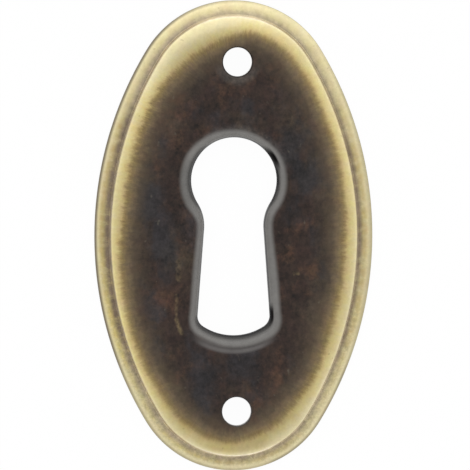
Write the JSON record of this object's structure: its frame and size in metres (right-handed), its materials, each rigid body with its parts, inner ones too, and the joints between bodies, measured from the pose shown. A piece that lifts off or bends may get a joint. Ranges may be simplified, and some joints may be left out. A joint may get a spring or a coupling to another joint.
{
  "type": "keyhole escutcheon",
  "caption": "Oval keyhole escutcheon pressed from brass sheet, with a stepped rim, a turned-down keyhole lip and a pin hole above and below.",
  "frame": {"origin": "middle of the mounting plane, at the centre of the oval outline", "axes": "+Z out of the face, +Y up the plate towards the keyhole's round end, +X to the right seen from the front"},
  "size_m": [0.026, 0.044, 0.0019],
  "materials": {
    "antique_brass": "dark brown patina, brushed back to bright brass round the rim"
  },
  "bodies": {
    "root": {"escutcheon_plate": "antique_brass"}
  },
  "joints": []
}
